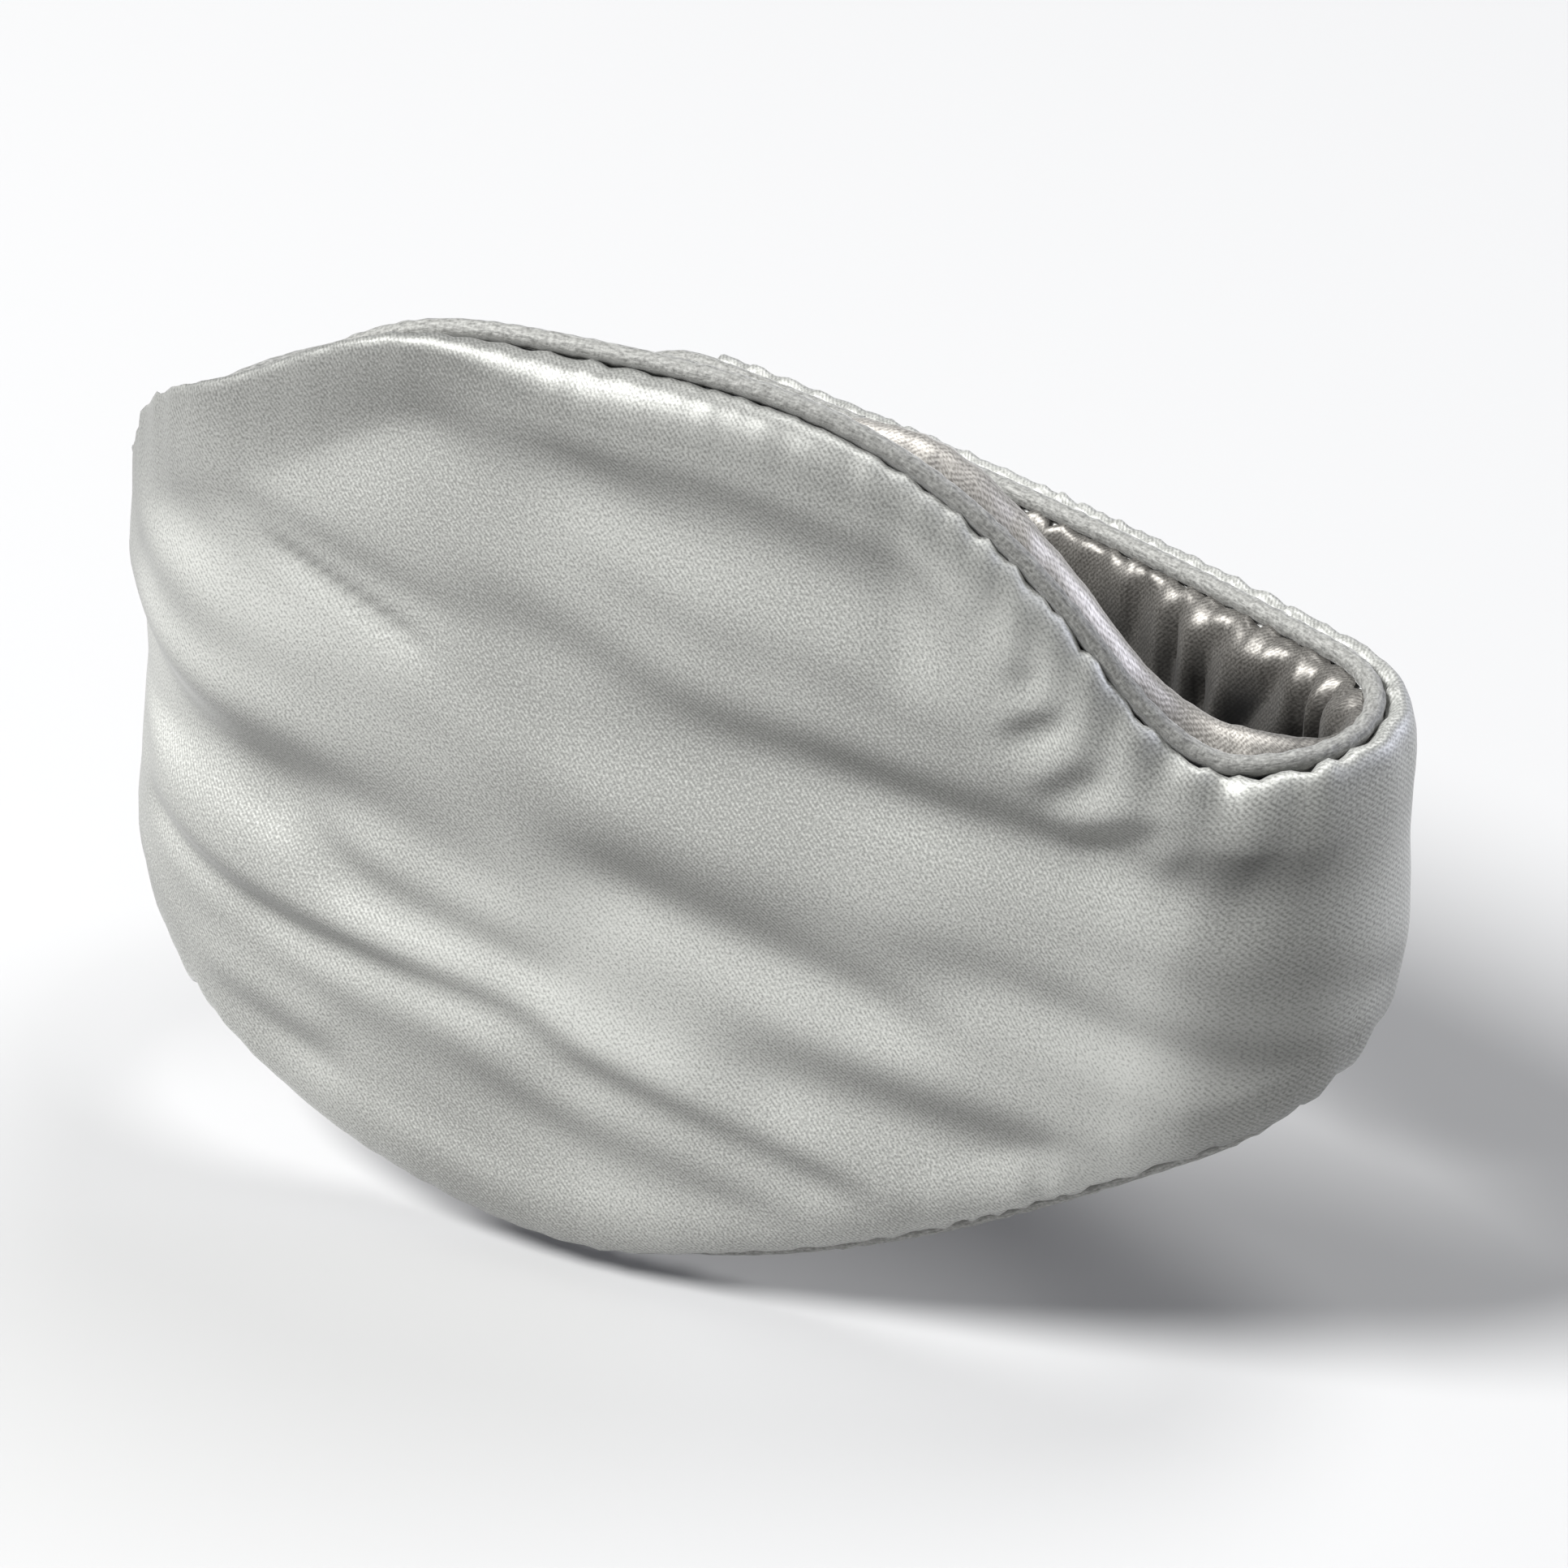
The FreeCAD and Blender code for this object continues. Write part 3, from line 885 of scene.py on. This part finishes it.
def shade_ramp(tree, source, output, dark, light, half_width):
    """From dark to light about the middle of a value's range."""
    ramp = node(tree, "ShaderNodeValToRGB")
    stops = ((0.5 - half_width, dark), (0.5 + half_width, light))
    for element, (position, colour) in zip(ramp.color_ramp.elements, stops):
        element.position = position
        element.color = (*colour, 1.0)
    link(source, output, ramp, "Fac")
    return ramp


def relief(tree, shader, source, output, strength, depth):
    """Small bumps that follow a value; the depth is in metres."""
    bump = node(tree, "ShaderNodeBump")
    set_inputs(bump, {"Strength": strength, "Distance": depth})
    link(source, output, bump, "Height")
    link(bump, "Normal", shader, "Normal")


def with_painted_shade(tree, colour, depth):
    """A colour painted darker by this much where the painted-shade attribute is 1, and lighter where it is
    below 0.
    """
    painted_shade = node(tree, "ShaderNodeAttribute", attribute_name="painted_shade")
    share = node(tree, "ShaderNodeMath", operation="MULTIPLY_ADD")
    set_inputs(share, {1: -depth, 2: 1.0})
    link(painted_shade, "Fac", share, 0)
    scaled = node(tree, "ShaderNodeVectorMath", operation="SCALE")
    link(colour, "Color", scaled, 0)
    link(share, 0, scaled, "Scale")
    return scaled


def satin(name, dark, light, roughness, painted_shade_depth):
    """Woven satin: fine slanting twill lines, grain, a broad sheen, and painted shade where it leans down
    and painted light where it leans up.
    """
    material, tree, shader = new_material(name)
    cloth = cloth_coordinates(tree)
    twill = stripes(tree, cloth, turn=math.radians(38), period=0.5)
    grain = noise(tree, cloth, size=0.36, detail=2.5)
    thread = mixed(tree, twill, "Result", grain, "Fac", share=0.86)
    cloud = noise(tree, cloth, size=55.0, detail=2.0)
    tone = mixed(tree, thread, "Result", cloud, "Fac", share=0.35)
    colour = shade_ramp(tree, tone, "Result", dark, light, half_width=0.10)
    link(with_painted_shade(tree, colour, painted_shade_depth), 0, shader, "Base Color")
    relief(tree, shader, thread, "Result", strength=0.10, depth=0.00012)
    set_inputs(shader, {"Roughness": roughness, "Metallic": 0.5, "Specular IOR Level": 0.35,
                        "Anisotropic": 0.3, "Sheen Weight": 0.15, "Sheen Roughness": 0.4})
    return material


def napped(name, dark, light):
    """Satin drawn tight round a cord: fine threads along it, with a short bright nap."""
    material, tree, shader = new_material(name)
    cloth = cloth_coordinates(tree)
    drawn = node(tree, "ShaderNodeVectorMath", operation="MULTIPLY")
    set_inputs(drawn, {1: (0.3, 1.0, 1.0)})
    link(cloth, 0, drawn, 0)
    threads = noise(tree, drawn, size=0.38, detail=3.0)
    nap = noise(tree, cloth, size=0.5, detail=2.0)
    tone = mixed(tree, threads, "Fac", nap, "Fac", share=0.45)
    colour = shade_ramp(tree, tone, "Result", dark, light, half_width=0.14)
    link(colour, "Color", shader, "Base Color")
    relief(tree, shader, tone, "Result", strength=0.7, depth=0.0003)
    set_inputs(shader, {"Roughness": 0.65, "Metallic": 0.2, "Sheen Weight": 0.35, "Sheen Roughness": 0.35})
    return material


def matt_cloth(name, dark, light, size):
    """Plain woven or felted cloth without shine; size is its grain's."""
    material, tree, shader = new_material(name)
    coordinates = in_millimetres(tree, node(tree, "ShaderNodeTexCoord"), "Object")
    grain = noise(tree, coordinates, size, detail=4.0)
    colour = shade_ramp(tree, grain, "Fac", dark, light, half_width=0.15)
    link(colour, "Color", shader, "Base Color")
    relief(tree, shader, grain, "Fac", strength=0.5, depth=0.0003)
    set_inputs(shader, {"Roughness": 0.9})
    return material


# the last value of each satin is how much its painted shade darkens the colour
OUTER_SATIN = satin("outer_satin", (0.262, 0.264, 0.250), (0.52, 0.524, 0.498), 0.5, painted_shade_depth=0.40)
# the lining's colour is kept dark partly as painted shade of the loop's inside
LINING_SATIN = satin("lining_satin", (0.085, 0.080, 0.073), (0.215, 0.206, 0.190), 0.42, painted_shade_depth=0.5)
PIPING_SATIN = napped("piping_satin", (0.13, 0.13, 0.122), (0.34, 0.34, 0.323))
PADDING = matt_cloth("padding", (0.78, 0.78, 0.76), (0.92, 0.92, 0.90), 1.5)
BLACKOUT = matt_cloth("blackout", (0.015, 0.015, 0.017), (0.05, 0.05, 0.055), 0.6)
FILLER_CORD = matt_cloth("filler_cord", (0.72, 0.71, 0.66), (0.88, 0.87, 0.82), 0.4)
HOOK_TAPE = matt_cloth("hook_tape", (0.20, 0.20, 0.20), (0.42, 0.42, 0.42), 0.5)
LOOP_TAPE = matt_cloth("loop_tape", (0.26, 0.26, 0.26), (0.44, 0.44, 0.43), 0.8)
LABEL_CLOTH = matt_cloth("label_cloth", (0.006, 0.006, 0.007), (0.03, 0.03, 0.032), 0.3)
RED_THREAD = matt_cloth("red_thread", (0.30, 0.01, 0.01), (0.60, 0.03, 0.03), 0.3)


# ---- satin panels, each strip's outer one and its lining ----
def outer_panel(name, strip, route, nodes):
    piece = satin_piece(name, strip, outer_proud(strip), outer_bulge(strip), 1, jag_seed=31)
    attach(piece, route, OUTER_SATIN, nodes)


def lining_panel(name, strip, route, nodes):
    piece = satin_piece(name, strip, inner_proud(strip), inner_bulge(strip), -1, jag_seed=32)
    attach(piece, route, LINING_SATIN, nodes)


loop_strip = Strip(WIDE_SPLIT, TAB_START)
outer_panel("mask_and_outer_band_satin", loop_strip, "tight_turn",
            ["mask_outer_satin", "outer_band_outer_satin"])
lining_panel("mask_and_outer_band_lining", loop_strip, "tight_turn", ["mask_lining", "outer_band_lining"])

tab_strip = Strip(TAB_START, OUTER_TIP, rounded=True)
outer_panel("tab_satin", tab_strip, "tab_bend", ["tab_outer_satin"])
lining_panel("tab_lining_satin", tab_strip, "tab_bend", ["tab_lining"])

under_strip = Strip(WIDE_SPLIT, INNER_TIP, rounded=True)
outer_panel("under_band_satin", under_strip, "wide_turn", ["under_band_outer_satin"])
lining_panel("under_band_lining_satin", under_strip, "wide_turn", ["under_band_lining"])


# ---- piping ----
def piping_rings(distance, height, turn, radius, ribs=0.0):
    """Rings round a path in the strip: turn is the way out of the strip's edge, 0 up and pi down."""
    around = np.linspace(0, 2 * math.pi, PIPING_SIDES, endpoint=False)[None, :]
    path = np.concatenate([[0], np.cumsum(np.hypot(np.diff(distance), np.diff(height)))])[:, None]
    size = radius * (1 + ribs * waves(41, path, around * 2.0, PIPING_RIB_LENGTHS))
    proud = size * np.cos(around)
    out = size * np.sin(around)
    along = distance[:, None] + out * np.sin(turn)[:, None]
    rise = height[:, None] + out * np.cos(turn)[:, None]
    return place(along, proud, rise), flat_place(path, around * radius)


def edge_path(start, end, side):
    """Along the upper (side 1) or lower (side -1) seam."""
    distance = np.linspace(start, end, round(abs(end - start) / PIPING_STEP) + 1)
    slope = seam_slope(distance, side)
    return distance, seam(distance, side), -slope if side > 0 else math.pi - slope


def end_path(start, tip):
    """Out along the top, round the end and back below."""
    way = math.copysign(1.0, tip)
    centre = tip - way * SEAM_HEIGHT
    straight = np.linspace(start, centre, round(abs(centre - start) / PIPING_STEP) + 1)
    bend = np.linspace(0, math.pi, round(math.pi * SEAM_HEIGHT / PIPING_STEP))[1:-1]
    distance = np.concatenate([straight, centre + way * SEAM_HEIGHT * np.sin(bend), straight[::-1]])
    height = np.concatenate([seam(straight, 1), SEAM_HEIGHT * np.cos(bend), seam(straight[::-1], -1)])
    turn = np.concatenate([np.zeros(len(straight)), way * bend, np.full(len(straight), way * math.pi)])
    return distance, height, turn


def piping_piece(name, path, route, nodes):
    """The piping's cover and the filler cord inside it."""
    cover, flat = piping_rings(*path, PIPING_RADIUS, ribs=PIPING_RIBS)
    attach(bar_piece(name, cover, flat), route, PIPING_SATIN, nodes)
    core, flat = piping_rings(*path, CORD_RADIUS)
    attach(bar_piece(name + "_filler", core, flat), route, FILLER_CORD,
           [other + "_cord" for other in nodes])


for edge_name, side in (("upper_piping", 1), ("lower_piping", -1)):
    piping_piece(edge_name, edge_path(WIDE_SPLIT, TAB_START, side), "tight_turn",
                 ["mask_" + edge_name, "outer_band_" + edge_name])
piping_piece("tab_end_piping", end_path(TAB_START, OUTER_TIP), "tab_bend", ["tab_piping"])
piping_piece("under_band_end_piping", end_path(WIDE_SPLIT, INNER_TIP), "wide_turn", ["under_band_piping"])


# ---- pads and blackout cloth, inside the covers ----
def pad_front(strip):
    """Proud distance of the pad's front: under the cover, and clear of its folds."""
    level = PAD_EDGE_PROUD + (OUTER_PUFF - PAD_EDGE_PROUD) * strip.rounding(PAD_ROUND)
    under_cover = np.minimum(level, outer_proud(strip)) - COVER_ROOM
    return np.maximum(under_cover - FOLD_ROOM * swell(strip.distance, PAD_REACH), LEAST_PAD)


def pad_piece(name, start, end, rounded, route, nodes):
    strip = Strip(start, end, rounded, **COARSE)
    back = np.minimum(inner_proud(strip) + PAD_INSET, -LEAST_PAD)
    height = strip.height - strip.edge_sign * PAD_EDGE_INSET * np.exp(-strip.from_seam / PAD_EDGE_FADE)
    over = place(strip.distance, pad_front(strip), height)
    under = place(strip.distance, back, height)
    rings = np.concatenate([over, under[:, ::-1]], axis=1)
    attach(bar_piece(name, rings), route, PADDING, nodes)


def blackout_layer():
    """A thin sheet on the front of the body's pad."""
    strip = Strip(WIDE_SPLIT + BLACKOUT_FROM_WIDE, TIGHT_SPLIT - BLACKOUT_FROM_TIGHT, **COARSE)
    proud = pad_front(strip) + BLACKOUT_CLOTH
    height = strip.height * BLACKOUT_HEIGHT
    points = place(strip.distance, proud, height)
    outward = place(strip.distance, proud + 1, height) - points
    sheet = sheet_piece("blackout_layer", points, flat_place(strip.distance, strip.height),
                        BLACKOUT_CLOTH, outward)
    attach(sheet, "mask_body", BLACKOUT, ["blackout_cloth"])


pad_piece("mask_and_outer_band_pad", WIDE_SPLIT + PAD_GAP, TAB_START - PAD_GAP, False, "tight_turn",
          ["mask_pad", "outer_band_pad"])
pad_piece("tab_pad_filling", TAB_START + PAD_GAP, OUTER_TIP, True, "tab_bend", ["tab_pad"])
pad_piece("under_band_pad_filling", WIDE_SPLIT - PAD_GAP, INNER_TIP, True, "wide_turn", ["under_band_pad"])
blackout_layer()


# ---- fastening tapes ----
def tape_ground(name, start, end, side, base):
    """Woven ground of a tape, a closed sheet with softly raised selvedges."""
    along = np.linspace(start, end, round(abs(end - start)))
    up = np.linspace(-TAPE_HALF_HEIGHT, TAPE_HALF_HEIGHT, TAPE_ROWS)
    distance, height = np.meshgrid(along, up, indexing="ij")
    weave = TAPE_WEAVE * np.sin(height * TAPE_WEAVE_RATE) + field(TAPE_CRUMPLE, distance, height)
    proud = base + side * (TAPE_GROUND + weave)
    points = place(distance, proud, height)
    outward = place(distance, proud + side, height) - points
    return sheet_piece(name, points, flat_place(distance, height), TAPE_GROUND, outward)


def tape_stitches(start, end, side, base):
    """Stitches round the border of a tape."""
    low, high = min(start, end) + STITCH_INSET, max(start, end) - STITCH_INSET
    edge = TAPE_HALF_HEIGHT - STITCH_INSET
    proud = base + side * (TAPE_GROUND + STITCH_LIFT)
    half = STITCH_LENGTH / 2
    bars = []
    for along in np.arange(low, high - STITCH_LENGTH, STITCH_LENGTH + STITCH_GAP):
        for up in (-edge, edge):
            bars.append(little_bar((along + half, proud, up), (half, STITCH_HALF_HEIGHT, STITCH_HALF_WIDTH)))
    for up in np.arange(-edge, edge - STITCH_LENGTH, STITCH_LENGTH + STITCH_GAP):
        for along in (low, high):
            bars.append(little_bar((along, proud, up + half), (STITCH_HALF_WIDTH, STITCH_HALF_HEIGHT, half)))
    return bars


def tape_hooks(start, end, side, base):
    """Rows of little hooks, every other row half a pitch aside."""
    margin = STITCH_INSET + HOOK_MARGIN
    middle = base + side * (TAPE_GROUND + HOOK_HALF[1])
    bars = []
    for row, along in enumerate(np.arange(min(start, end) + margin, max(start, end) - margin, HOOK_PITCH)):
        shift = HOOK_PITCH / 2 if row % 2 else 0.0
        for up in np.arange(-TAPE_HALF_HEIGHT + margin + shift, TAPE_HALF_HEIGHT - margin, HOOK_PITCH):
            bars.append(little_bar((along, middle, up), HOOK_HALF))
    return bars


def tape(name, spot, body, material):
    """A tape and its stitches; spot is its start, end, side and proud distance."""
    ground = attach(tape_ground(name + "_ground", *spot), body, material, [name])
    sewn = attach(bars_piece(name + "_stitches", tape_stitches(*spot)), body, PIPING_SATIN)


HOOK_END = OUTER_TIP - TAPE_MARGIN
HOOK_SPOT = (HOOK_END - HOOK_TAPE_LENGTH, HOOK_END, -1, -(INNER_PUFF + TAPE_LIFT))
LOOP_END = INNER_TIP + TAPE_MARGIN
LOOP_SPOT = (LOOP_END + LOOP_TAPE_LENGTH, LOOP_END, 1, LAP_PUFF + TAPE_LIFT)
tape("hook_tape", HOOK_SPOT, "tab", HOOK_TAPE)
attach(bars_piece("hook_tape_hooks", tape_hooks(*HOOK_SPOT)), "tab", HOOK_TAPE)
tape("loop_tape", LOOP_SPOT, "under_band", LOOP_TAPE)


# ---- side label ----
def label_cloth(middle, top):
    """A woven tape folded in two: down one face, round the fold and up the other."""
    along = np.linspace(middle - LABEL_LENGTH / 2, middle + LABEL_LENGTH / 2, LABEL_COLUMNS)
    bottom = top - LABEL_DROP + LABEL_FOLD
    drop = np.linspace(top, bottom, LABEL_ROWS)
    turn = np.linspace(0, math.pi, LABEL_FOLD_ROWS + 2)[1:-1]
    face = np.full(LABEL_ROWS, LABEL_FOLD)
    run_proud = np.concatenate([face, LABEL_FOLD * np.cos(turn), -face])
    run_up = np.concatenate([drop, bottom - LABEL_FOLD * np.sin(turn), drop[::-1]])
    distance, height = np.meshgrid(along, run_up, indexing="ij")
    bow = LABEL_BOW * np.sin((distance - middle) / LABEL_LENGTH * LABEL_BOW_TURN)
    bow = bow * ((top - height) / LABEL_DROP)
    points = place(distance, run_proud[None, :] + bow, height)
    centre = place(distance, bow, np.maximum(height, bottom))
    return sheet_piece("side_label_cloth", points, flat_place(distance, height),
                       LABEL_THICKNESS, points - centre)


def label_stitches(middle, top):
    """A few red stitches in both ends of each face."""
    end = LABEL_LENGTH / 2 - RED_STITCH_INSET
    bars = []
    for number in range(RED_STITCHES):
        up = top - RED_STITCH_INSET - number * RED_STITCH_PITCH
        for face in (-1, 1):
            for along in (middle + end, middle - end):
                bars.append(little_bar((along, face * (LABEL_FOLD + RED_STITCH_LIFT), up), RED_STITCH_HALF))
    return bars


def label():
    """The side label, caught in the lower seam of the outer band."""
    middle = OUTER_TIP - LABEL_FROM_TIP
    top = -SEAM_HEIGHT - PIPING_RADIUS * LABEL_TUCK
    cloth = attach(label_cloth(middle, top), "outer_band", LABEL_CLOTH, ["side_label"])
    sewn = bars_piece("side_label_stitches", label_stitches(middle, top))
    attach(sewn, "outer_band", RED_THREAD)


label()


# ---- floor, light and camera ----
def floor():
    """A plain floor just below the design's box."""
    low = min(cad_box[0][2], cad_box[1][2])
    bpy.ops.mesh.primitive_plane_add(size=8.0, location=(0, 0, low - FLOOR_GAP))
    plane = bpy.context.object
    plane.name = "studio_floor"
    material, _, shader = new_material("studio_floor")
    set_inputs(shader, {"Base Color": (0.45, 0.45, 0.45, 1.0), "Roughness": 0.95, "Specular IOR Level": 0.1})
    plane.data.materials.append(material)


def world():
    made = bpy.data.worlds.new("studio")
    made.use_nodes = True
    set_inputs(made.node_tree.nodes["Background"], {"Color": SKY_COLOUR, "Strength": SKY_STRENGTH})
    bpy.context.scene.world = made


def held(name, data, position, way):
    """A light or the camera at its place, looking along a vector."""
    holder = bpy.data.objects.new(name, data)
    holder.location = position
    holder.rotation_euler = way.to_track_quat("-Z", "Y").to_euler()
    bpy.context.scene.collection.objects.link(holder)
    return holder


def area_light(name, position, size, power, colour):
    """A round light that looks at the middle of the loop."""
    lamp = bpy.data.lights.new(name, "AREA")
    lamp.shape = "DISK"
    lamp.size = size
    lamp.energy = power
    lamp.color = colour
    held(name, lamp, position, -Vector(position))


def camera():
    level = math.cos(CAMERA_RISE)
    back = Vector((math.sin(CAMERA_AZIMUTH) * level,
                   -math.cos(CAMERA_AZIMUTH) * level,
                   math.sin(CAMERA_RISE)))
    made = bpy.data.cameras.new("camera")
    made.lens = CAMERA_LENS
    made.sensor_width = 36.0
    made.clip_start = 0.01
    position = Vector(CAMERA_TARGET) + back * CAMERA_DISTANCE
    bpy.context.scene.camera = held("camera", made, position, -back)


floor()
world()
for light in LIGHTS:
    area_light(*light)
camera()
bpy.context.scene.view_settings.view_transform = "Standard"
bpy.context.scene.view_settings.exposure = 0.0

bpy.context.view_layer.update()
